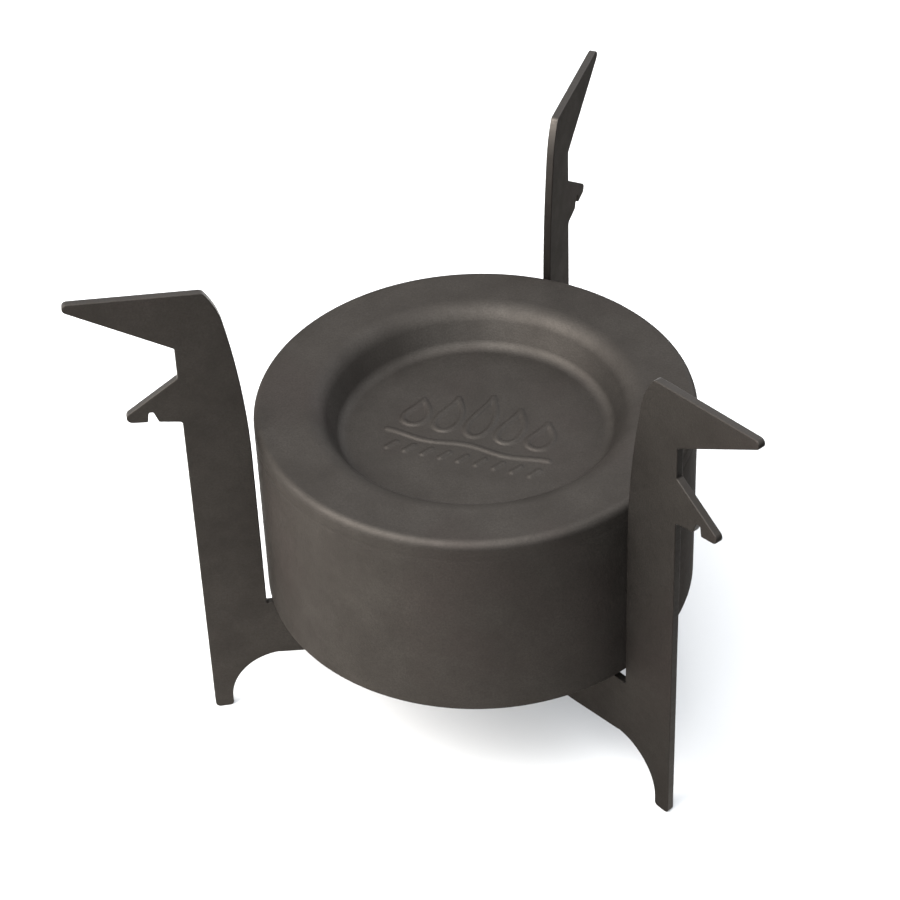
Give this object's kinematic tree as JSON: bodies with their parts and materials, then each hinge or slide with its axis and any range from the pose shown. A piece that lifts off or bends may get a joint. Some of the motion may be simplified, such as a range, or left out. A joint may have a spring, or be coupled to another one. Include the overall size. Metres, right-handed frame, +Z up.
{
  "type": "folding camping stove",
  "caption": "Small backpacking stove: a drawn can with a fuel dish on top and a spirit burner underneath, standing in a folding stand of flat legs that also hold the pot.",
  "frame": {"origin": "on the ground, under the centre of the plan's bounding box; the can's axis and the hinge pin stand 15.3 mm towards -Y from it", "axes": "+Z up; the rear leg points along +Y, and the left and right legs point to 210 and 330 degrees in plan, counted from +X"},
  "size_m": [0.123, 0.1106, 0.0981],
  "materials": {
    "can_titanium": "fine-blasted titanium, dark warm grey, matte with a soft sheen",
    "leg_titanium": "fine-blasted titanium plate, dark warm grey, rounded bright edges",
    "hinge_titanium": "bare turned titanium, satin",
    "carbon_felt": "needled carbon felt, black, fibrous"
  },
  "bodies": {
    "stand": {"leg_rear": "leg_titanium", "hinge_sleeve_rear_upper": "hinge_titanium", "hinge_sleeve_rear_lower": "hinge_titanium", "hinge_pin": "hinge_titanium", "washer_upper": "hinge_titanium", "washer_lower": "hinge_titanium"},
    "left_leg": {"leg_left": "leg_titanium", "hinge_sleeve_left_upper": "hinge_titanium", "hinge_sleeve_left_lower": "hinge_titanium"},
    "right_leg": {"leg_right": "leg_titanium", "hinge_sleeve_right_upper": "hinge_titanium", "hinge_sleeve_right_lower": "hinge_titanium"},
    "can": {"burner_can": "can_titanium", "burner_deck": "can_titanium", "bowl_liner": "can_titanium", "wick_ring": "carbon_felt", "bowl_felt": "carbon_felt", "felt_retainer": "can_titanium"}
  },
  "joints": [
    {"name": "left_leg_fold", "type": "hinge", "parent": "stand", "child": "left_leg", "pos_m": [0, -0.01531, 0.015], "axis": [0, 0, -1], "range_deg": [0, 106]},
    {"name": "right_leg_fold", "type": "hinge", "parent": "stand", "child": "right_leg", "pos_m": [0, -0.01531, 0.015], "axis": [0, 0, 1], "range_deg": [0, 106]},
    {"name": "can_lift", "type": "slide", "parent": "stand", "child": "can", "axis": [0, 0, 1], "range_m": [0, 0.08]}
  ]
}
